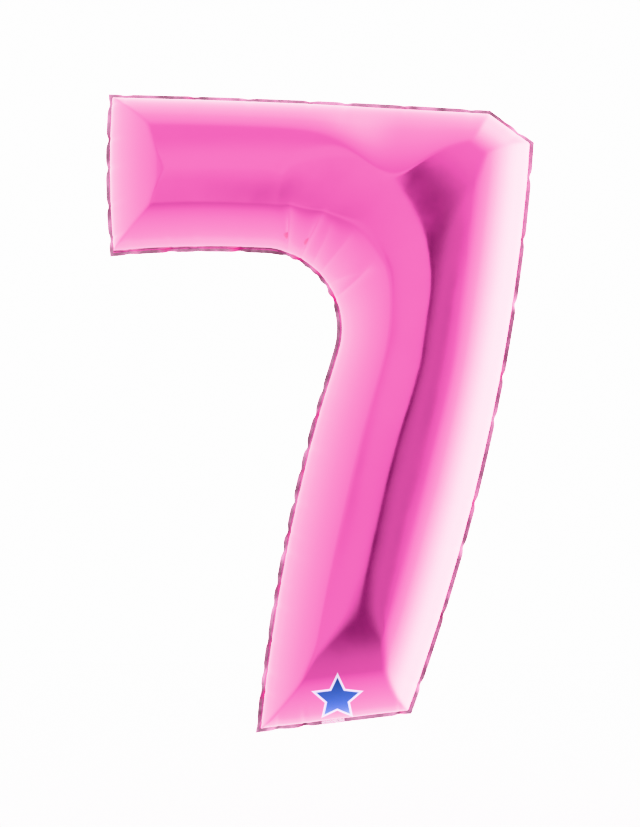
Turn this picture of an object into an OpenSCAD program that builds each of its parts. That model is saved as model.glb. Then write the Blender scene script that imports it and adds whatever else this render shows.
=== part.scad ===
// Foil number balloon, a "7": two heat-sealed film panels blown up to a smooth pillow,
// with a filling tab under the foot and a self-closing film valve inside it.
// X runs across the figure, Z up and Y front to back, with the front at -Y.
// The origin is the middle of the foot's edge, where the tab folds and the ribbon is tied.

/* [Figure] */
// Height of the top left corner over the foot's middle
height = 886; // [600:1:1200]
// From the foot's middle out to the bar's left end
reach_left = 316.5; // [220:0.5:420]
// From the foot's middle out to the right edge, under the cut corner
reach_right = 282.5; // [200:0.5:380]
// Height of the bar at its left end
bar_h = 229; // [180:1:290]
// Fall of the top edge from the left corner to the cut corner
top_fall = 23; // [5:1:50]
// Width of the cut corner
cut_w = 62; // [30:1:90]
// Height of the cut corner
cut_h = 45; // [25:1:70]
// Width of the foot
foot_w = 221; // [170:1:280]
// Tilt of the foot, in degrees, its right end up
foot_tilt = 7; // [0:0.5:12]
// Radius of the inner bend, between the bar and the leg
bend_r = 106; // [80:1:135]
// From the inner bend's centre to the foot's middle, to the right
bend_x = 101.5; // [75:0.5:130]
// Turn of the inner bend, in degrees
bend_turn = 108; // [95:1:115]
// Rise of the bar's lower edge from its left end to the bend
bar_rise = 5; // [0:1:15]
// Bulge of the top edge
top_bow = 3; // [0:0.5:10]
// Bulge of the bar's left end
end_bow = 5; // [0:0.5:10]
// Hollow of the bar's lower edge
bar_bow = 4; // [0:0.5:10]
// Bulge of the right edge
right_bow = 30; // [10:1:45]
// How far the inner bend's direction pulls the left edge of the leg
leg_pull = 260; // [180:1:320]

/* [Pillow] */
// Greatest depth, front to back
depth = 168; // [120:1:210]
// Distance over which the pillow rises from the bar's end and from the foot
end_run = 104; // [80:1:130]

/* [Film] */
// Thickness of the metallised film
film_t = 0.03; // [0.02:0.01:0.1]
// Width of the flat heat-sealed edge
seam_w = 6; // [4:0.5:10]

/* [Filling tab] */
// Width of the tab
tab_w = 45; // [40:1:60]
// Length of the tab
tab_l = 55; // [45:1:70]
// Radius of the tab's free corners
tab_r = 8; // [3:0.5:15]
// Radius of the inflation hole
hole_r = 5; // [3:0.5:7]
// From the fold to the inflation hole's centre
hole_drop = 36; // [28:1:38]
// Turn of the folded tab from hanging straight down, in degrees
tab_fold = 105; // [90:1:108]
// Gap at each fold and at the end of each film of the valve
fold_gap = 0.3; // [0.1:0.05:0.5]

/* [Valve] */
// Width of the valve's two films
valve_w = 32; // [20:1:38]
// Reach of the valve's films inside the balloon
valve_l = 95; // [60:1:120]
// Thickness of one valve film
valve_t = 0.04; // [0.02:0.01:0.08]

/* [Hidden] */
$fn = 64;
foil = "#f04fb4";
clear_film = [0.93, 0.93, 0.97, 0.6];

// Ribs cross the stroke from its inner edge to its outer one: so many in each stretch
end_ribs = 5;
bar_ribs = 3;
top_ribs = 6;
cut_ribs = 2;
side_ribs = 6;
leg_ribs = 5;
fan_ribs = top_ribs + cut_ribs + side_ribs;
last_rib = 2 * end_ribs + bar_ribs + fan_ribs + leg_ribs;
// Steps along each rib, and the share of the right edge that faces the inner bend
rows = 14;
fan_share = 0.46;

function mix(a, b, t) = a + (b - a) * t;
function bezier(p, c, q, t) = mix(mix(p, c, t), mix(c, q, t), t);
function unit(v) = v / norm(v);
function left_of(v) = [-v.y, v.x];
// The point that two lines, d inside the lines a-p and p-b, share; inside is on the left
function inset(a, p, b, d) =
    let (n = left_of(unit(p - a)), m = left_of(unit(b - p)))
    p + (n + m) * d / (1 + n * m);

// Corners and curve controls, anticlockwise from the bar's lower left corner
bend = [-bend_x, height - bar_h + bar_rise - bend_r];
turn_end = 90 - bend_turn;
function bend_at(a, d) = bend + (bend_r + d) * [cos(a), sin(a)];
bar_low = [-reach_left + 2, height - bar_h];
bar_top = [-reach_left, height];
top_end = [reach_right - cut_w, height - top_fall];
cut_end = [reach_right, height - top_fall - cut_h];
foot_left = -foot_w / 2 * [cos(foot_tilt), sin(foot_tilt)];
foot_right = -foot_left;
outline = [
    bar_low,
    mix(bar_low, bend_at(90, 0), 0.5) + [0, 2 * bar_bow],
    bend_at(90, 0),
    bend_at(turn_end, 0),
    bend_at(turn_end, 0) + leg_pull * [sin(turn_end), -cos(turn_end)],
    foot_left,
    foot_right,
    mix(cut_end, foot_right, 0.5) + [2 * right_bow, 0],
    cut_end,
    top_end,
    mix(bar_top, top_end, 0.5) + [0, 2 * top_bow],
    bar_top,
    mix(bar_top, bar_low, 0.5) - [2 * end_bow, 0]
];
function knots(d) = [
    for (i = [0:len(outline) - 1])
        inset(outline[(i + len(outline) - 1) % len(outline)], outline[i],
            outline[(i + 1) % len(outline)], d)
];

// Ribs crowd towards the bar's end and the foot as the steps of an arc do
bar_share = end_run / (reach_left - bend_x);
leg_share = end_run / norm(bend_at(turn_end, 0) - foot_left);
bar_steps = [
    for (i = [0:end_ribs]) bar_share * (1 - cos(90 * i / end_ribs)),
    for (i = [1:bar_ribs]) mix(bar_share, 1, i / bar_ribs)
];
leg_steps = [
    for (i = [1:leg_ribs]) (1 - leg_share) * i / leg_ribs,
    for (i = [1:end_ribs]) 1 - leg_share * (1 - sin(90 * i / end_ribs))
];
bend_share = (reach_left - bend_x) / (reach_left + reach_right - cut_w);

// The stroke's inner and outer edges, a point for each rib, d inside the outline
function inner_edge(d) = let (k = knots(d)) [
    for (t = bar_steps) bezier(k[0], k[1], bend_at(90, d), t),
    for (i = [1:fan_ribs]) bend_at(90 - bend_turn * i / fan_ribs, d),
    for (t = leg_steps) bezier(bend_at(turn_end, d), k[4], k[5], t)
];
function outer_edge(d) = let (k = knots(d)) [
    for (t = bar_steps) bezier(k[11], k[10], k[9], bend_share * t),
    for (i = [1:top_ribs]) bezier(k[11], k[10], k[9], mix(bend_share, 1, i / top_ribs)),
    for (i = [1:cut_ribs]) mix(k[9], k[8], i / cut_ribs),
    for (i = [1:side_ribs]) bezier(k[8], k[7], k[6], fan_share * i / side_ribs),
    for (t = leg_steps) bezier(k[8], k[7], k[6], mix(fan_share, 1, t))
];
function across(j) = (1 - cos(180 * j / rows)) / 2;
function plan(d) = let (a = inner_edge(d), b = outer_edge(d), k = knots(d)) [
    for (i = [0:last_rib]) [
        for (j = [0:rows])
            i == 0 ? bezier(k[0], k[12], k[11], across(j)) : mix(a[i], b[i], across(j))
    ]
];

// Height over the seam: a half ellipse across, and a quarter ellipse at each end.
// Where the valve comes through the foot, the seam is open by the thickness of one valve film.
rise = depth / 2 - film_t;
function end_rise(i) = sin(90 * min(i, last_rib - i, end_ribs) / end_ribs);
function foot_x(j) = foot_w * abs(across(j) - 0.5);
function neck_gap(j) = foot_x(j < rows / 2 ? j + 1 : max(j - 1, rows / 2)) < valve_w / 2 ? valve_t : 0;
function swell(i, j) = i == last_rib ? neck_gap(j) : rise * sin(180 * j / rows) * end_rise(i);

// Indices around the edge of the grid of ribs and rows
function at(i, j) = i * (rows + 1) + j;
rim = [
    for (i = [0:last_rib]) [i, 0],
    for (j = [1:rows]) [last_rib, j],
    for (i = [last_rib - 1:-1:0]) [i, rows],
    for (j = [rows - 1:-1:1]) [0, j]
];
skin_count = at(last_rib, rows) + 1;
rim_count = len(rim);

// Two triangles for the four-sided face a, b, c, d
function quad(a, b, c, d) = [[a, b, c], [a, c, d]];
function flat_list(lists) = [for (l = lists) each l];
function skin_faces(first, out) = flat_list([
    for (i = [0:last_rib - 1], j = [0:rows - 1])
        let (a = first + at(i, j), b = first + at(i, j + 1), c = first + at(i + 1, j + 1),
            d = first + at(i + 1, j))
        out ? quad(a, b, c, d) : quad(a, d, c, b)
]);
function ring_faces(first, second) = flat_list([
    for (n = [0:rim_count - 1])
        let (m = (n + 1) % rim_count)
        quad(first[n], first[m], second[m], second[n])
]);

// One panel: an outer skin, an inner skin one film further in, and the flat seam around them.
// side is -1 for the front and 1 for the rear.
module panel(side) {
    outer = plan(seam_w);
    inner = plan(seam_w + film_t);
    edge = plan(0);
    skin = [
        for (i = [0:last_rib], j = [0:rows]) [outer[i][j].x, side * (film_t + swell(i, j)), outer[i][j].y],
        for (i = [0:last_rib], j = [0:rows]) [inner[i][j].x, side * swell(i, j), inner[i][j].y]
    ];
    seam = [
        for (y = [film_t, 0], r = rim)
            [edge[r[0]][r[1]].x, side * (y + (r[0] == last_rib ? neck_gap(r[1]) : 0)), edge[r[0]][r[1]].y]
    ];
    outer_rim = [for (r = rim) at(r[0], r[1])];
    inner_rim = [for (r = rim) skin_count + at(r[0], r[1])];
    seam_front = [for (n = [0:rim_count - 1]) 2 * skin_count + n];
    seam_back = [for (n = seam_front) n + rim_count];
    faces = concat(
        skin_faces(0, true),
        skin_faces(skin_count, false),
        ring_faces(outer_rim, seam_front),
        ring_faces(seam_front, seam_back),
        ring_faces(seam_back, inner_rim)
    );
    polyhedron(concat(skin, seam), side < 0 ? faces : [for (f = faces) [f[2], f[1], f[0]]]);
}

// Places what is drawn with the foot level, and turns the tab behind the foot
module at_foot() rotate([0, -foot_tilt, 0]) children();
module at_tab() at_foot() rotate([tab_fold, 0, 0]) children();
// A film of the drawn outline, its back face at y; outlines are drawn upright, with Y for height
module film(t, y) translate([0, y, 0]) rotate([90, 0, 0]) linear_extrude(t) children();

module strip(low, high) translate([-valve_w / 2, low]) square([valve_w, high - low]);

module tab_outline() {
    side = tab_w / 2 - tab_r;
    translate([-tab_w / 2, -tab_l + tab_r]) square([tab_w, tab_l - tab_r - fold_gap]);
    translate([-side, -tab_l]) square([2 * side, tab_r]);
    for (x = [-side, side]) translate([x, -tab_l + tab_r]) circle(tab_r);
}

module front_panel() color(foil) panel(-1);

module rear_panel() color(foil) panel(1);

module valve_front_neck() color(clear_film) at_foot() film(valve_t, 0) strip(0, seam_w);

module valve_rear_neck() color(clear_film) at_foot() film(valve_t, valve_t) strip(0, seam_w);

module valve_front_lip()
    color(clear_film) at_foot() film(valve_t, 0) strip(seam_w + fold_gap, seam_w + valve_l);

module valve_rear_lip()
    color(clear_film) at_foot() film(valve_t, valve_t) strip(seam_w + fold_gap, seam_w + valve_l);

module tab_front_ply() color(foil) at_tab() film(film_t, -valve_t) difference() {
    tab_outline();
    translate([0, -hole_drop]) circle(hole_r);
}

module tab_rear_ply() color(foil) at_tab() film(film_t, valve_t + film_t) tab_outline();

module valve_front_mouth()
    color(clear_film) at_tab() film(valve_t, 0) strip(fold_gap + hole_r - hole_drop, -fold_gap);

module valve_rear_mouth()
    color(clear_film) at_tab() film(valve_t, valve_t) strip(fold_gap + hole_r - hole_drop, -fold_gap);

front_panel();
rear_panel();
valve_front_neck();
valve_rear_neck();
valve_front_lip();
valve_rear_lip();
tab_front_ply();
tab_rear_ply();
valve_front_mouth();
valve_rear_mouth();
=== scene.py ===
"""Looks for a foil number balloon, a "7": metallised film blown up taut, with a heat-sealed edge,
a folded filling tab and a clear film valve. Lengths are in metres, in the frame of the CAD model."""
import math

import bpy
import numpy as np
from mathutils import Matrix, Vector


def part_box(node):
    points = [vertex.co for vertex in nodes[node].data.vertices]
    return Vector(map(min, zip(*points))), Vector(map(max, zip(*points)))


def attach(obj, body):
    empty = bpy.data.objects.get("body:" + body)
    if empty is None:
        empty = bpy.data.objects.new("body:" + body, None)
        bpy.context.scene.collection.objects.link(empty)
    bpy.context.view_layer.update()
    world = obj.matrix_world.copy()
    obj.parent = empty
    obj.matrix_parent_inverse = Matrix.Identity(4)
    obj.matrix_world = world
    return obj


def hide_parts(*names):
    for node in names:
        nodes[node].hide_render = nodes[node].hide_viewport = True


MM = 0.001

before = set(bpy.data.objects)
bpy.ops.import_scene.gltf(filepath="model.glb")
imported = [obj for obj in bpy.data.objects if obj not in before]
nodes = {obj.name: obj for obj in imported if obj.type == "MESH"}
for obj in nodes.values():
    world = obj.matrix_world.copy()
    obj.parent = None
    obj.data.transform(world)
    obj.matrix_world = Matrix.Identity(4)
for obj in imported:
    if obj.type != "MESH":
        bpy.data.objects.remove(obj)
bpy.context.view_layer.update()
body_low, body_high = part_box("front_panel")


# ---------------------------------------------------------------- camera

VIEW_WIDTH = 0.9014        # width of the picture at the seam's plane
VIEW_HEIGHT = VIEW_WIDTH * 827 / 640
CAMERA_DISTANCE = 3.0
SENSOR = 36.0              # millimetres, along the picture's long side
camera = bpy.data.objects.new("camera", bpy.data.cameras.new("camera"))
camera.data.sensor_width = SENSOR
camera.data.lens = SENSOR * CAMERA_DISTANCE / VIEW_HEIGHT
camera.location = (
    (body_low.x + body_high.x) / 2,
    -CAMERA_DISTANCE,
    (body_low.z + body_high.z) / 2,
)
camera.rotation_euler = (math.radians(90), 0, 0)
bpy.context.scene.collection.objects.link(camera)
bpy.context.scene.camera = camera


# ---------------------------------------------------------------- the seam, read from the frame

def unit(v):
    return v / np.maximum(np.linalg.norm(v, axis=-1, keepdims=True), 1e-12)


def turn_left(v):
    return np.stack([-v[..., 1], v[..., 0]], -1)


def seam_loops(panel):
    """The flat seam's outer and inner edges in plan (x, z), anticlockwise from the front: the
    open edges of the faces of the front panel that lie flat in the seam's plane, facing back."""
    mesh = panel.data
    mesh.calc_loop_triangles()
    points = np.array([v.co for v in mesh.vertices])
    ids = {}
    keys = [tuple(np.round(p / (0.001 * MM)).astype(int)) for p in points]
    same = np.array([ids.setdefault(key, len(ids)) for key in keys])
    where = np.zeros((len(ids), 3))
    where[same] = points
    following = {}
    for t in mesh.loop_triangles:
        corners = list(t.vertices)
        if t.normal.y < 0.9 or max(abs(points[corners, 1])) > 0.1 * MM:
            continue
        for a, b in zip(corners, corners[1:] + corners[:1]):
            if following.get(same[b]) and same[a] in following[same[b]]:
                following[same[b]].remove(same[a])
            else:
                following.setdefault(same[a], []).append(same[b])
    loops = []
    while any(following.values()):
        first = next(a for a, b in following.items() if b)
        loop, here = [], first
        while following[here]:
            loop.append(here)
            here = following[here].pop()
        loop = where[loop][:, [0, 2]]
        following_points = np.roll(loop, -1, 0)
        area = np.sum(loop[:, 0] * following_points[:, 1] - following_points[:, 0] * loop[:, 1])
        loops.append(loop if area > 0 else loop[::-1])
    loops.sort(key=lambda p: -np.ptp(p[:, 0]))
    return loops[:2]


class Curve:
    """A smooth plane curve through points, measured along its length."""

    def __init__(self, points, step=0.5 * MM):
        chord = np.concatenate([[0], np.cumsum(np.linalg.norm(np.diff(points, axis=0), axis=1))])
        fine = np.linspace(0, chord[-1], int(chord[-1] / step) + 2)
        self.points = natural_spline(chord, points, fine)
        steps = np.linalg.norm(np.diff(self.points, axis=0), axis=1)
        self.along = np.concatenate([[0], np.cumsum(steps)])
        self.length = self.along[-1]
        self.tangents = unit(np.gradient(self.points, axis=0))

    def at(self, s):
        return np.stack([np.interp(s, self.along, self.points[:, k]) for k in (0, 1)], -1)

    def inward(self, s):
        t = np.stack([np.interp(s, self.along, self.tangents[:, k]) for k in (0, 1)], -1)
        return turn_left(unit(t))


def natural_spline(knots, values, places):
    """Cubic spline with free ends through values at knots, read at places."""
    n = len(knots)
    if n < 3:
        share = ((places - knots[0]) / (knots[-1] - knots[0]))[:, None]
        return values[0] * (1 - share) + values[-1] * share
    h = np.diff(knots)
    system = np.zeros((n, n))
    right = np.zeros((n, 2))
    system[0, 0] = system[-1, -1] = 1
    for i in range(1, n - 1):
        system[i, i - 1:i + 2] = h[i - 1], 2 * (h[i - 1] + h[i]), h[i]
        right[i] = 6 * ((values[i + 1] - values[i]) / h[i] - (values[i] - values[i - 1]) / h[i - 1])
    bend = np.linalg.solve(system, right)
    i = np.clip(np.searchsorted(knots, places) - 1, 0, n - 2)
    a = (knots[i + 1] - places)[:, None]
    b = (places - knots[i])[:, None]
    w = h[i][:, None]
    return (
        (bend[i] * a**3 + bend[i + 1] * b**3) / (6 * w)
        + (values[i] / w - bend[i] * w / 6) * a
        + (values[i + 1] / w - bend[i + 1] * w / 6) * b
    )


CORNER = math.radians(20)  # a sharper turn than this ends an edge
BEND = math.radians(2.5)   # a turn the other way sharper than this is in the inner bend

outer_loop, inner_loop = seam_loops(nodes["front_panel"])
seam_w = float(np.min(np.linalg.norm(outer_loop[:, None] - inner_loop[None], axis=2)))
to_next = np.roll(outer_loop, -1, 0) - outer_loop
heading = np.arctan2(to_next[:, 1], to_next[:, 0])
turning = (heading - np.roll(heading, 1) + np.pi) % (2 * np.pi) - np.pi
corners = [i for i, turn in enumerate(turning) if turn > CORNER]
stretches = [
    np.roll(np.arange(len(outer_loop)), -a)[: (b - a) % len(outer_loop) + 1]
    for a, b in zip(corners, corners[1:] + corners[:1])
]
hollow = min(range(len(stretches)), key=lambda k: turning[stretches[k][1:-1]].sum())
stretches = stretches[hollow:] + stretches[:hollow]
# anticlockwise from the bar's lower left corner
INNER, FOOT, RIGHT, CUT, TOP, END = range(6)
edges = [Curve(outer_loop[s]) for s in stretches]
corner_turn = [turning[s[0]] for s in stretches]


def inset_point(edge, share):
    """A point on the inner edge of the flat seam, at a share of its length between two corners."""
    curve = edges[edge]
    start = seam_w * math.tan(corner_turn[edge] / 2)
    end = seam_w * math.tan(corner_turn[(edge + 1) % 6] / 2)
    s = start + (curve.length - start - end) * np.asarray(share)
    return curve.at(s) + seam_w * curve.inward(s)


def nearest(edge, points):
    """Where along an edge each point is, and how far inside its seam."""
    curve = edges[edge]
    coarse = slice(None, None, 16)
    gaps = np.linalg.norm(points[:, None] - curve.points[None, coarse], axis=2)
    s = curve.along[coarse][np.argmin(gaps, axis=1)]
    for _ in range(14):
        across = points - curve.at(s)
        s = np.clip(s - 0.4 * np.sum(across * turn_left(curve.inward(s)), axis=1), 0, curve.length)
    depth = np.sum((points - curve.at(s)) * curve.inward(s), axis=1)
    return s, depth - seam_w


# ---------------------------------------------------------------- the stroke's grid of ribs and rows

CELL = 3.2 * MM            # size of the film's mesh
ROWS = 112                 # steps across the stroke
END_RUN = 70 * MM          # distance over which the film rises from the bar's end and the foot


def eased(length, run, cell):
    """Shares of a length, crowding towards its start as the steps of an arc do."""
    close = run * (1 - np.cos(np.linspace(0, np.pi / 2, math.ceil(run * np.pi / 2 / cell) + 1)))
    open_part = np.linspace(run, length, math.ceil((length - run) / cell) + 1)[1:]
    return np.concatenate([close, open_part]) / length


def facing(edge, point, direction):
    """The share of an edge that lies straight in one direction from a point."""
    shares = np.linspace(0, 1, 2001)
    aim = unit(inset_point(edge, shares) - point) @ direction
    return shares[np.argmax(aim)]


inner = edges[INNER]
bend_vertices = [outer_loop[i] for i in stretches[INNER][1:-1] if turning[i] < -BEND]
bend_span = nearest(INNER, np.array([bend_vertices[0], bend_vertices[-1]]))[0] / inner.length
bend_points = inset_point(INNER, bend_span)
bend_normals = inner.inward(bend_span * inner.length)
top_share = facing(TOP, bend_points[0], bend_normals[0])
right_share = facing(RIGHT, bend_points[1], bend_normals[1])

bar_steps = eased(bend_span[0] * inner.length, END_RUN, CELL)
leg_steps = 1 - eased(inner.length * (1 - bend_span[1]), END_RUN, CELL)[::-1]
fan = [(TOP, top_share, 0.0), (CUT, 1.0, 0.0), (RIGHT, 1.0, right_share)]
fan_steps = [math.ceil(abs(a - b) * edges[e].length / CELL) for e, a, b in fan]
inner_shares = np.concatenate([
    bend_span[0] * bar_steps,
    np.linspace(*bend_span, sum(fan_steps) + 1)[1:],
    bend_span[1] + (1 - bend_span[1]) * leg_steps[1:],
])
outer_shares = [(TOP, 1 - (1 - top_share) * bar_steps)]
outer_shares += [(e, np.linspace(a, b, n + 1)[1:]) for (e, a, b), n in zip(fan, fan_steps)]
outer_shares += [(RIGHT, right_share * (1 - leg_steps[1:]))]
inner_side = inset_point(INNER, inner_shares)
outer_side = np.concatenate([inset_point(e, shares) for e, shares in outer_shares])
RIBS = len(inner_side) - 1
across = (1 - np.cos(np.linspace(0, np.pi, ROWS + 1))) / 2


def grid_plan():
    """Plan position of each point of the film, by rib and row. Both ends follow their own edge."""
    plan = inner_side[:, None] + (outer_side - inner_side)[:, None] * across[None, :, None]
    for rib, edge, shares in ((0, END, 1 - across), (RIBS, FOOT, across)):
        bow = inset_point(edge, shares) - plan[rib]
        away = np.linalg.norm(plan - plan[rib][None], axis=2)
        fade = np.clip(1 - away / (2 * END_RUN), 0, 1) ** 2
        plan = plan + fade[..., None] * bow[None]
    return plan


plan = grid_plan()
shape = plan.shape[:2]
places, depths = zip(*[nearest(e, plan.reshape(-1, 2)) for e in range(6)])
places = np.array(places).reshape(6, *shape)
depths = np.maximum(np.array(depths).reshape(6, *shape), 0)

# ---------------------------------------------------------------- how the film rises over the seam

HALF_DEPTH = abs(body_low.y) - 0.2 * MM
CROWN_SLOPE = 0.064             # mean slope from the top of a flank to the ridge along the stroke
RIDGE_ROUNDING = 0.09 * MM
# each flank's run as a share of the stroke, the most it can be, how much longer than its run its
# quarter ellipse is, and the share of the crown's mean slope that is left at the ridge
FLANKS = {
    INNER: (0.28, 88 * MM, 1.16, 0.3), RIGHT: (0.31, 75 * MM, 1.32, 0.3), CUT: (0.2, 56 * MM, 1.25, 0.4),
    TOP: (0.215, 56 * MM, 1.16, 0.3), END: (1, END_RUN, 1.2, 0.3), FOOT: (1, END_RUN, 1.16, 0.3),
}
NARROW_CROWN = 60 * MM          # where the right flank's crown is wider than this, its share at the
WIDE_CROWN = 7.0                # ridge grows by this for each metre more
END_CROWN = 86 * MM             # from the bar's end to the top of its crown
FOOT_CROWN = 170 * MM           # and from the foot
SLACK_AT = 86 * MM              # where the top flank, slack over the bend, reaches furthest in
SLACK_SPREAD = 66 * MM
SLACK_EXTRA = 40 * MM
SLACK_CROWN = 12 * MM           # what is left there of the crown above the top flank
# by the way that a rib faces, in degrees: how far inside the inner seam the ridge lies, and the
# top of the inner flank
RIDGE_AT = [
    (-20, 116 * MM), (-10, 116 * MM), (-2, 114 * MM), (8, 119 * MM), (18, 132 * MM), (30, 145 * MM),
    (46, 159 * MM), (58, 160 * MM), (70, 135 * MM), (84, 104 * MM), (120, 104 * MM),
]
INNER_FLANK = [
    (-16, 66 * MM), (-2, 70 * MM), (10, 77 * MM), (25, 86 * MM), (45, 88 * MM), (60, 76 * MM),
    (80, 62 * MM), (90, 58 * MM),
]
INNER_CROWN = 3.2 * MM          # rise from the top of the inner flank to the ridge


def smooth_least(a, b, radius=0.0, ridge_radius=RIDGE_ROUNDING):
    """The lesser of two heights, with their meeting line rounded off, less so on the crown."""
    least = np.minimum(a, b)
    radius = radius * np.maximum(1 - least / HALF_DEPTH, 0) + ridge_radius
    radius = np.minimum(radius, 0.25 * (a + b)) + 1e-9
    return least - np.maximum(radius - np.abs(a - b), 0) ** 2 / (4 * radius)


def flank(depth, run, middle, rounding, ridge_slope, crown_rise=None):
    """Height over the seam at a distance inside it: a quarter ellipse, then the gentle crown."""
    if crown_rise is None:
        crown_rise = CROWN_SLOPE * np.maximum(middle - run, 0)
    end = 1 / rounding
    share = np.minimum(depth / run, 1) * end
    rise = np.sqrt(1 - (1 - share) ** 2) / math.sqrt(1 - (1 - end) ** 2)
    on_crown = np.maximum((depth - run) / np.maximum(middle - run, CELL), 0)
    short_of_ridge = np.minimum(on_crown, 1)
    crown = 2 * (1 - ridge_slope) * short_of_ridge - (1 - ridge_slope) * short_of_ridge**2
    crown = crown + ridge_slope * on_crown
    return (HALF_DEPTH - crown_rise) * rise + crown_rise * crown


def smoothed(values, count=61):
    window = np.hanning(count) / np.hanning(count).sum()
    return np.convolve(np.pad(values, count // 2, mode="edge"), window, mode="valid")


ribs = outer_side - inner_side
stroke = np.linalg.norm(ribs, axis=1)
rib_facing = np.degrees(np.arctan2(ribs[:, 1], ribs[:, 0]))
ridge_at = smoothed(np.interp(rib_facing, *zip(*RIDGE_AT)), 31)
inner_flank = np.interp(rib_facing, *zip(*INNER_FLANK))
slack = np.exp(-(((plan[..., 0] - SLACK_AT) / SLACK_SPREAD) ** 2))
heights = []
for edge in range(6):
    share, most, *profile = FLANKS[edge]
    if edge in (END, FOOT):
        heights.append(flank(depths[edge], END_RUN, END_CROWN if edge == END else FOOT_CROWN, *profile))
        continue
    run = smoothed(np.minimum(share * stroke, inner_flank if edge == INNER else most))[:, None]
    if edge == INNER:
        heights.append(flank(depths[edge], run, ridge_at[:, None], *profile, INNER_CROWN))
        continue
    crossings = zip(ridge_at, depths[INNER], depths[edge])
    on_ridge = [np.interp(at, inside, own) for at, inside, own in crossings]
    own_middle = smoothed(np.maximum(on_ridge, run[:, 0] + CELL), 31)[:, None]
    if edge == TOP:
        run = run + SLACK_EXTRA * slack
        own_middle = own_middle + (run + SLACK_CROWN - own_middle) * slack
    rounding, at_ridge = profile
    if edge == RIGHT:
        at_ridge = at_ridge + WIDE_CROWN * np.maximum(own_middle - run - NARROW_CROWN, 0)
    heights.append(flank(depths[edge], run, own_middle, rounding, at_ridge))
outer_height = smooth_least(smooth_least(heights[TOP], heights[CUT], 3 * MM), heights[RIGHT], 3 * MM)
height = smooth_least(heights[INNER], outer_height)
height = smooth_least(height, heights[END], 3 * MM)
height = smooth_least(height, heights[FOOT], 8 * MM, 0.9 * MM)

# ---------------------------------------------------------------- creases that run in from the seam

rng = np.random.default_rng(7)
CREASE_WIDTH = 3.2 * MM
CREASE_TIP = 0.8 * MM      # rounding at the bottom of a crease
CREASE_SPREAD = 0.06       # how much wider a crease is for its distance inside the seam
SWELL = 0.38               # how high the film swells beside a crease, against the crease's depth
SEAM_SWING = 1.3 * MM      # how far a crease bends the seam to the front or the rear
NOTCH = 1.3                # how far a crease draws the cut edge in, against the crease's depth
DEEPEST_NOTCH = 2.6 * MM
# edge, first and last share, spacing, depth, distance inside the seam, and reach on each side of it
CREASES = [
    (INNER, 0.00, bend_span[0] - 0.02, 52 * MM, 1.0 * MM, 0, 14 * MM),
    (INNER, bend_span[0] + 0.015, bend_span[1] - 0.07, 18 * MM, 2.7 * MM, 28 * MM, 32 * MM),
    (INNER, bend_span[1] + 0.04, 1.00, 40 * MM, 1.7 * MM, 0, 16 * MM),
    (FOOT, 0.0, 1.0, 52 * MM, 1.6 * MM, 0, 22 * MM),
    (RIGHT, 0.0, 1.0, 88 * MM, 1.5 * MM, 0, 15 * MM),
    (CUT, 0.0, 1.0, 38 * MM, 1.0 * MM, 0, 14 * MM),
    (TOP, 0.0, 1.0, 76 * MM, 1.0 * MM, 0, 12 * MM),
    (END, 0.0, 1.0, 50 * MM, 1.8 * MM, 0, 20 * MM),
]


def scatter_creases():
    """Every crease: its edge, place, slant, depth, middle, reach and the way the seam bends there."""
    found = []
    for edge, first, last, spacing, depth, centre, reach in CREASES:
        span = (last - first) * edges[edge].length
        count = max(1, round(span / spacing))
        for k in range(count):
            s = first * edges[edge].length + span * (k + 0.5 + rng.uniform(-0.22, 0.22)) / count
            found.append((
                edge, s, rng.uniform(-0.25, 0.25), depth * rng.uniform(0.6, 1.25), centre,
                reach * rng.uniform(0.75, 1.1), (-1) ** k * rng.uniform(0.5, 1.2),
            ))
    return found


creases = scatter_creases()
tab_low, tab_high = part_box("tab_front_ply")
tab_middle = nearest(FOOT, np.array([[(tab_low.x + tab_high.x) / 2, 0.0]]))[0][0]
TAB_REACH = (tab_high.x - tab_low.x) / 2 + 2 * MM


def clear_of_tab(edge, s):
    """0 where the tab and the valve's neck cross the foot's seam, which is flat there, else 1."""
    if edge != FOOT:
        return 1.0
    return np.clip((np.abs(s - tab_middle) - TAB_REACH) / (10 * MM), 0, 1)


def pucker(edge, s, depth):
    """How far the film sinks into the creases of one edge, and how far they bend the seam to the
    rear, at places along the edge and distances inside it."""
    sunk, bent = np.zeros_like(s), np.zeros_like(s)
    ends = np.minimum(s, edges[edge].length - s)
    fade = np.clip(ends / (18 * MM), 0, 1) ** 2 * clear_of_tab(edge, s)
    for on_edge, place, slant, deep, centre, reach, way in creases:
        if on_edge != edge:
            continue
        aside = s - place - slant * depth
        width = CREASE_WIDTH + CREASE_SPREAD * depth
        valley = np.exp(-(np.sqrt(aside**2 + CREASE_TIP**2) - CREASE_TIP) / width)
        swell = np.exp(-((aside / (5 * CREASE_WIDTH)) ** 2))
        start = 0.6 + 0.4 * np.clip(depth / (8 * MM), 0, 1)
        ends_by = np.exp(-np.abs((depth - centre) / reach) ** (4 if centre else 2))
        sunk += deep * (valley - SWELL * swell) * start * ends_by
        bent += way * SEAM_SWING * np.exp(-((aside / (9 * MM)) ** 2)) * np.exp(-depth / (14 * MM))
    return fade * sunk, fade * bent


def notch(edge, s):
    """How far the cut edge is drawn in where creases gather it."""
    drawn = 0.0
    for on_edge, place, _, deep, *_ in creases:
        if on_edge == edge:
            drawn += NOTCH * deep * math.exp(-(((s - place) / (7 * MM)) ** 2))
    return min(drawn, DEEPEST_NOTCH) * clear_of_tab(edge, s)


sunk, bent = np.zeros(shape), np.zeros(shape)
for e in range(6):
    more_sunk, more_bent = pucker(e, places[e], depths[e])
    sunk, bent = sunk + more_sunk, bent + more_bent


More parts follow.
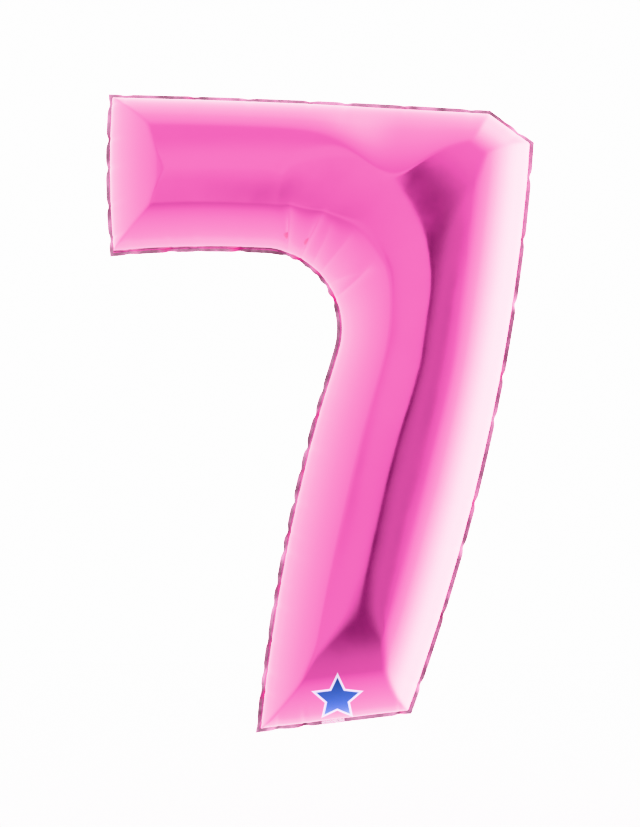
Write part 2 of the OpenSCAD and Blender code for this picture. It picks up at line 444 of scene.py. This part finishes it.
def noise(u, v, seed):
    """Smooth random heights, about -1 to 1, with one swing to each unit of u and v."""
    table = np.random.default_rng(seed).uniform(-1, 1, (64, 64))
    iu, iv = np.floor(u).astype(int), np.floor(v).astype(int)
    fu, fv = u - iu, v - iv
    fu, fv = fu * fu * (3 - 2 * fu), fv * fv * (3 - 2 * fv)
    low = table[iu % 64, iv % 64] * (1 - fu) + table[(iu + 1) % 64, iv % 64] * fu
    high = table[iu % 64, (iv + 1) % 64] * (1 - fu) + table[(iu + 1) % 64, (iv + 1) % 64] * fu
    return low * (1 - fv) + high * fv


# ---------------------------------------------------------------- the two films

FLANGE_STEPS = 4
EDGE_SWING = 0.8           # how much more the cut edge bends than the inner edge of the seam
FILM_GAP = 0.03 * MM       # from the seam's plane to each film
WAVE = 0.2 * MM            # height of the slow waves in the taut film
rim = [(rib, 0, INNER, share) for rib, share in enumerate(inner_shares)]
for row in range(1, ROWS + 1):
    rim.append((RIBS, row, FOOT, across[row]))
outer_list = [(e, share) for e, shares in outer_shares for share in shares]
for rib in range(RIBS - 1, -1, -1):
    rim.append((rib, ROWS, *outer_list[rib]))
for row in range(ROWS - 1, 0, -1):
    rim.append((0, row, END, 1 - across[row]))


def film_mesh(name, side, seed):
    """One film as a mesh of ribs and rows with its flat edge, in front (side -1) or behind (1)."""
    points = np.stack([plan[..., 0], side * height, plan[..., 1]], -1)
    along = np.gradient(points, axis=0)
    athwart = np.gradient(points, axis=1)
    normal = unit(np.cross(along, athwart))
    normal[normal[..., 1] * side < 0] *= -1
    wave = noise(plan[..., 0] / (90 * MM) + 20, plan[..., 1] / (70 * MM) + 20, seed)
    fade = np.clip(height / HALF_DEPTH, 0, 1) ** 2
    points = points + normal * (WAVE * wave * fade - sunk)[..., None]
    points[..., 1] += bent

    ribs, rows = shape
    index = np.arange(ribs * rows).reshape(ribs, rows)
    quads = np.stack([index[:-1, :-1], index[:-1, 1:], index[1:, 1:], index[1:, :-1]], -1).reshape(-1, 4)
    rings = [np.array([index[rib, row] for rib, row, _, _ in rim])]
    start = np.array([points[rib, row] for rib, row, _, _ in rim])
    edge_points = np.array([edges[e].at(share * edges[e].length) for _, _, e, share in rim])
    inset = np.array([plan[rib, row] for rib, row, _, _ in rim])
    drawn = np.array([notch(e, share * edges[e].length) for _, _, e, share in rim])
    edge_points = edge_points + unit(inset - edge_points) * drawn[:, None]
    flange = []
    for k in range(1, FLANGE_STEPS + 1):
        t = k / FLANGE_STEPS
        ring = start.copy()
        ring[:, [0, 2]] += t * (edge_points - inset)
        ring[:, 1] = start[:, 1] * (1 + EDGE_SWING * t) + side * FILM_GAP
        flange.append(ring)
        rings.append(ribs * rows + (k - 1) * len(rim) + np.arange(len(rim)))
    for a, b in zip(rings, rings[1:]):
        quads = np.concatenate([quads, np.stack([a, np.roll(a, -1), np.roll(b, -1), b], -1)])
    points = np.concatenate([points.reshape(-1, 3)] + flange)
    if side < 0:
        quads = quads[:, ::-1]
    mesh = bpy.data.meshes.new(name)
    mesh.from_pydata(points.tolist(), [], quads.tolist())
    mesh.shade_smooth()
    fold = set(map(frozenset, zip(rings[0].tolist(), np.roll(rings[0], -1).tolist())))
    weld = mesh.attributes.new("weld", "FLOAT", "POINT")
    weld.data.foreach_set("value", (np.arange(len(points)) >= ribs * rows).astype(float))
    sharp = mesh.attributes.new("sharp_edge", "BOOLEAN", "EDGE")
    sharp.data.foreach_set("value", [frozenset(e.vertices) in fold for e in mesh.edges])
    obj = bpy.data.objects.new(name, mesh)
    bpy.context.scene.collection.objects.link(obj)
    return obj


# ---------------------------------------------------------------- materials

def linear(hex_colour):
    """An sRGB hex colour as the linear RGBA that shaders take."""
    channels = [int(hex_colour[i:i + 2], 16) / 255 for i in (1, 3, 5)]
    return [c / 12.92 if c <= 0.04045 else ((c + 0.055) / 1.055) ** 2.4 for c in channels] + [1.0]


def add(tree, kind, settings=None, **inputs):
    """Adds a node. Settings are its own properties; inputs are values or sockets, by socket name
    with spaces as underscores, or by number as in i0."""
    node = tree.nodes.new("ShaderNode" + kind)
    for key, value in (settings or {}).items():
        setattr(node, key, value)
    for key, value in inputs.items():
        socket = node.inputs[int(key[1:]) if key[1:].isdigit() else key.replace("_", " ")]
        if isinstance(value, bpy.types.NodeSocket):
            tree.links.new(value, socket)
        else:
            socket.default_value = value
    return node


def new_material(name):
    material = bpy.data.materials.new(name)
    material.use_nodes = True
    material.node_tree.nodes.clear()
    return material, material.node_tree


def finish_material(tree, surface):
    add(tree, "OutputMaterial", Surface=surface)


def star_distance(tree, place, centre, radius, waist):
    """Distance outside a five-pointed star that faces forward, its points at radius and the
    corners between them at waist. It is negative inside."""
    def calc(operation, a, b=0.0):
        return add(tree, "Math", {"operation": operation}, i0=a, i1=b).outputs[0]

    across = add(tree, "SeparateXYZ", Vector=place)
    x = calc("SUBTRACT", across.outputs[0], centre[0])
    z = calc("SUBTRACT", across.outputs[2], centre[1])
    sector = 2 * math.pi / 5
    turned = calc("ADD", calc("ARCTAN2", x, z), 2 * math.pi + sector / 2)
    folded = calc("ABSOLUTE", calc("SUBTRACT", calc("MODULO", turned, sector), sector / 2))
    reach = calc("SQRT", calc("ADD", calc("MULTIPLY", x, x), calc("MULTIPLY", z, z)))
    corner = (waist * math.cos(sector / 2), waist * math.sin(sector / 2))
    side = (corner[1], radius - corner[0])
    side = [part / math.hypot(*side) for part in side]
    along = calc("MULTIPLY", calc("MULTIPLY", reach, calc("COSINE", folded)), side[0])
    aside = calc("MULTIPLY", calc("MULTIPLY", reach, calc("SINE", folded)), side[1])
    return calc("SUBTRACT", calc("ADD", along, aside), radius * side[0])


def metallised_film(name, star=None, welded_beyond=None):
    """Nylon film with a vapour-deposited mirror of aluminium, printed with a clear pink ink and
    gloss lacquer: a coloured metal under a thin clear coat, which whitens at a glancing angle. Its
    heat-sealed edge, which on the tab is all that lies beyond a distance from its middle, is greyer
    and duller, and the printed star is blue ink with a pale outline."""
    material, tree = new_material(name)
    place = add(tree, "TexCoord").outputs["Object"]
    if not welded_beyond:
        weld = add(tree, "Attribute", {"attribute_name": "weld"}).outputs["Fac"]
    else:
        sideways = add(tree, "SeparateXYZ", Vector=place).outputs[0]
        aside = add(tree, "Math", {"operation": "ABSOLUTE"}, i0=sideways)
        weld = add(tree, "MapRange", i0=aside.outputs[0], i1=welded_beyond,
                   i2=welded_beyond + 0.6 * MM).outputs[0]
    waves = add(tree, "TexNoise", Vector=place, Scale=1 / (30 * MM), Detail=1.5, Roughness=0.4)
    grain = add(tree, "TexNoise", Vector=place, Scale=1 / (2.2 * MM), Detail=2.0, Roughness=0.5)
    slow = add(tree, "Bump", Height=waves.outputs[0], Strength=0.2, Distance=0.3 * MM)
    press = add(tree, "Math", {"operation": "MULTIPLY_ADD"}, i0=weld, i1=0.7, i2=0.1)
    fine = add(tree, "Bump", Height=grain.outputs[0], Strength=press.outputs[0], Distance=0.01 * MM,
               Normal=slow.outputs[0])
    smudge = add(tree, "TexNoise", Vector=place, Scale=1 / (60 * MM), Detail=3.0, Roughness=0.6)
    gloss = add(tree, "MapRange", i0=smudge.outputs[0], i1=0.3, i2=0.7, i3=0.10, i4=0.14)
    # the seal's colour: darker and greyer than the film, lighter and darker in patches at random
    patches = add(tree, "TexNoise", Vector=place, Scale=1 / (24 * MM), Detail=2.0, Roughness=0.5)
    seal_patches = add(tree, "MapRange", i0=patches.outputs[0], i1=0.35, i2=0.65)
    sealed = add(tree, "Mix", {"data_type": "RGBA"}, i0=seal_patches.outputs[0],
                 i6=linear("#8d5873"), i7=linear("#cf94b6"))
    colour = add(tree, "Mix", {"data_type": "RGBA"}, i0=weld, i6=linear("#f85fbd"),
                 i7=sealed.outputs[2]).outputs[2]
    rough = add(tree, "Mix", {"data_type": "FLOAT"}, i0=weld, i2=gloss.outputs[0], i3=0.38).outputs[0]
    if star:
        outside = star_distance(tree, place, *star)
        keyline = add(tree, "MapRange", i0=outside, i1=3.4 * MM, i2=2.6 * MM).outputs[0]
        ink = add(tree, "MapRange", i0=outside, i1=0.4 * MM, i2=-0.4 * MM).outputs[0]
        colour = add(tree, "Mix", {"data_type": "RGBA"}, i0=keyline, i6=colour,
                     i7=linear("#e9dff2")).outputs[2]
        colour = add(tree, "Mix", {"data_type": "RGBA"}, i0=ink, i6=colour,
                     i7=linear("#123f92")).outputs[2]
        rough = add(tree, "Mix", {"data_type": "FLOAT"}, i0=keyline, i2=rough, i3=0.3).outputs[0]
    surface = add(
        tree, "BsdfPrincipled", Base_Color=colour, Metallic=1.0, Roughness=rough,
        Normal=fine.outputs[0], Coat_Weight=1.0, Coat_Roughness=0.08, Coat_IOR=1.5,
        Coat_Normal=fine.outputs[0],
    )
    finish_material(tree, surface.outputs[0])
    return material


def clear_valve_film(name):
    """Blown polythene film, 0.04 mm: nearly clear, faintly milky, with soft draw lines along it."""
    material, tree = new_material(name)
    place = add(tree, "TexCoord").outputs["Object"]
    lines = add(tree, "Mapping", Vector=place, Scale=(1 / (3 * MM), 1 / (3 * MM), 1 / (60 * MM)))
    draw = add(tree, "TexNoise", Vector=lines.outputs[0], Scale=1.0, Detail=2.0, Roughness=0.5)
    bump = add(tree, "Bump", Height=draw.outputs[0], Strength=0.3, Distance=0.05 * MM)
    haze = add(tree, "MapRange", i0=draw.outputs[0], i1=0.3, i2=0.7, i3=0.16, i4=0.3)
    surface = add(
        tree, "BsdfPrincipled", Base_Color=linear("#eef1f3"), Roughness=haze.outputs[0], IOR=1.5,
        Transmission_Weight=0.75, Normal=bump.outputs[0],
    )
    finish_material(tree, surface.outputs[0])
    return material


# the star's centre, the distance to its points, and to the corners between them
STAR = ((5 * MM, 43 * MM), 31 * MM, 15 * MM)
TAB_OPEN_HALF = 16.5 * MM          # half the width between the tab's welded sides
printed_film = metallised_film("pink_metallised_film_printed", STAR)
plain_film = metallised_film("pink_metallised_film")
for name, side, seed, node, finish in (
    ("front_film", -1, 3, "front_panel", printed_film), ("rear_film", 1, 4, "rear_panel", plain_film),
):
    film = film_mesh(name, side, seed)
    film.data.materials.append(finish)
    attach(film, "balloon")
    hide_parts(node)

tab_film = metallised_film("pink_metallised_film_tab", welded_beyond=TAB_OPEN_HALF)
valve_film = clear_valve_film("clear_polythene_film")
for name, part in nodes.items():
    if name.startswith(("tab_", "valve_")):
        finish = tab_film if name.startswith("tab_") else valve_film
        part.data.materials.clear()
        part.data.materials.append(finish)


# ---------------------------------------------------------------- floor

FLOOR = 3.0                # half the floor's side
FLOAT = 0.25               # how high the balloon floats over it
floor_z = body_low.z - FLOAT
floor_mesh = bpy.data.meshes.new("floor")
floor_mesh.from_pydata(
    [(x * FLOOR, y * FLOOR, floor_z) for x, y in ((-1, -1), (1, -1), (1, 1), (-1, 1))],
    [], [(0, 1, 2, 3)],
)
floor = bpy.data.objects.new("floor", floor_mesh)
bpy.context.scene.collection.objects.link(floor)
floor.visible_glossy = False
floor_paint, tree = new_material("pale_matt_floor")
speck = add(tree, "TexNoise", Vector=add(tree, "TexCoord").outputs["Object"], Scale=40.0, Detail=2.0)
shade = add(tree, "MapRange", i0=speck.outputs[0], i1=0.3, i2=0.7, i3=0.9, i4=0.92)
surface = add(tree, "BsdfPrincipled", Base_Color=shade.outputs[0], Roughness=0.9)
finish_material(tree, surface.outputs[0])
floor_mesh.materials.append(floor_paint)


# ---------------------------------------------------------------- studio

BRIGHTEST = 32.0
# brightness of the studio by degrees away from the camera, to each side, above and below
TO_LEFT = [
    (0, 1.2), (15, 1.2), (20, 1.8), (32, 2.05), (58, 2.6), (85, 3.4), (117, 4.3), (150, 3.5),
    (172, 1.6), (180, 1.5),
]
TO_RIGHT = [
    (0, 0.9), (13, 1.1), (17, 1.35), (30, 2.0), (43, 3.3), (56, 7), (70, 13), (85, 22), (100, 28),
    (140, 24), (165, 4), (180, 1.5),
]
ABOVE = [
    (0, 1.5), (17, 1.1), (26, 1.35), (36, 1.65), (55, 2.15), (75, 2.6), (90, 3.3), (115, 4.1),
    (140, 4.4), (165, 2), (180, 1.5),
]
BELOW = [
    (0, 0.85), (22, 0.85), (30, 1.1), (40, 1.45), (60, 1.9), (90, 2.4), (110, 2.7), (125, 3.4),
    (165, 2), (180, 1.5),
]
# close round the camera: by height over it on its left, and by slanted degrees to its right
NEAR_LEFT = [
    (-16, 0.84), (-4, 0.85), (-2, 0.98), (0, 1.25), (2, 1.42), (6, 1.58), (12, 1.62), (15, 1.4),
    (17, 1.12), (22, 1.1),
]
NEAR_RIGHT = [
    (0, 0.5), (0.8, 0.12), (3, 0.14), (4.4, 0.48), (6, 0.72), (8, 0.82), (9.5, 0.74), (11.5, 0.6),
    (13, 1.05), (18, 1.4),
]
SLANT = 0.5
BACKDROP = 6.0         # brightness of the studio seen directly, which is plain white
POST_AT = 10.5         # degrees to the left of the camera, where a thin post dims the light
POST_DIMS_TO = 0.72


def brightness_ramp(tree, degrees, stops):
    """Brightness by angle: a ramp through (degrees, brightness) stops."""
    low, high = stops[0][0], stops[-1][0]
    place = add(tree, "MapRange", i0=degrees, i1=low, i2=high, i3=0.0, i4=1.0)
    ramp = add(tree, "ValToRGB", i0=place.outputs[0])
    elements = ramp.color_ramp.elements
    for k, (at, level) in enumerate(stops):
        stop = elements[k] if k < 2 else elements.new((at - low) / (high - low))
        stop.position = (at - low) / (high - low)
        stop.color = [level / BRIGHTEST] * 3 + [1]
    return add(tree, "Math", {"operation": "MULTIPLY"}, i0=ramp.outputs[0], i1=BRIGHTEST).outputs[0]


def studio_light():
    """A studio all round the balloon: a big bright window to the right, white walls, and a dim
    gap with dark edges close beside the camera. Seen directly, it is plain white."""
    world = bpy.data.worlds.new("studio")
    bpy.context.scene.world = world
    world.use_nodes = True
    tree = world.node_tree
    tree.nodes.clear()

    def calc(operation, a, b=0.0):
        return add(tree, "Math", {"operation": operation}, i0=a, i1=b).outputs[0]

    def mix(share, a, b):
        return add(tree, "Mix", {"data_type": "FLOAT"}, i0=share, i2=a, i3=b).outputs[0]

    def step(value, low, high):
        blend = add(tree, "MapRange", {"interpolation_type": "SMOOTHSTEP"}, i0=value, i1=low, i2=high)
        return blend.outputs[0]

    way = add(tree, "SeparateXYZ", Vector=add(tree, "TexCoord").outputs["Generated"])
    x, z = way.outputs[0], way.outputs[2]
    back = calc("MULTIPLY", way.outputs[1], -1.0)
    away = calc("DEGREES", calc("ARCCOSINE", back))
    side = calc("DEGREES", calc("ARCTAN2", x, back))
    lift = calc("DEGREES", calc("ARCSINE", z))
    turn = calc("ARCTAN2", z, x)
    level = mix(step(calc("COSINE", turn), -0.15, 0.15),
                brightness_ramp(tree, away, TO_LEFT), brightness_ramp(tree, away, TO_RIGHT))
    upright = mix(step(calc("SINE", turn), -0.15, 0.15),
                  brightness_ramp(tree, away, BELOW), brightness_ramp(tree, away, ABOVE))
    outer = mix(calc("POWER", calc("SINE", turn), 2.0), level, upright)
    slanted = calc("SUBTRACT", side, calc("MULTIPLY", calc("MAXIMUM", lift, -0.5), SLANT))
    post = step(calc("ABSOLUTE", calc("ADD", side, POST_AT)), 0.8, 2.8)
    left = calc("MULTIPLY", brightness_ramp(tree, lift, NEAR_LEFT), mix(post, POST_DIMS_TO, 1.0))
    low_left = calc("MULTIPLY", step(calc("MULTIPLY", side, -1.0), 1.0, 4.0),
                    step(calc("MULTIPLY", lift, -1.0), 0.0, 2.0))
    left = mix(low_left, left, 1.32)
    near = mix(step(slanted, 0.0, 1.4), left, brightness_ramp(tree, slanted, NEAR_RIGHT))
    seen = mix(step(away, 12.0, 18.0), near, outer)
    lit = add(tree, "Background", Color=(1, 1, 1, 1), Strength=seen)
    white = add(tree, "Background", Color=(1, 1, 1, 1), Strength=BACKDROP)
    straight = add(tree, "LightPath").outputs["Is Camera Ray"]
    both = add(tree, "MixShader", i0=straight, i1=lit.outputs[0], i2=white.outputs[0])
    add(tree, "OutputWorld", Surface=both.outputs[0])


studio_light()
bpy.context.scene.view_settings.view_transform = "Khronos PBR Neutral"
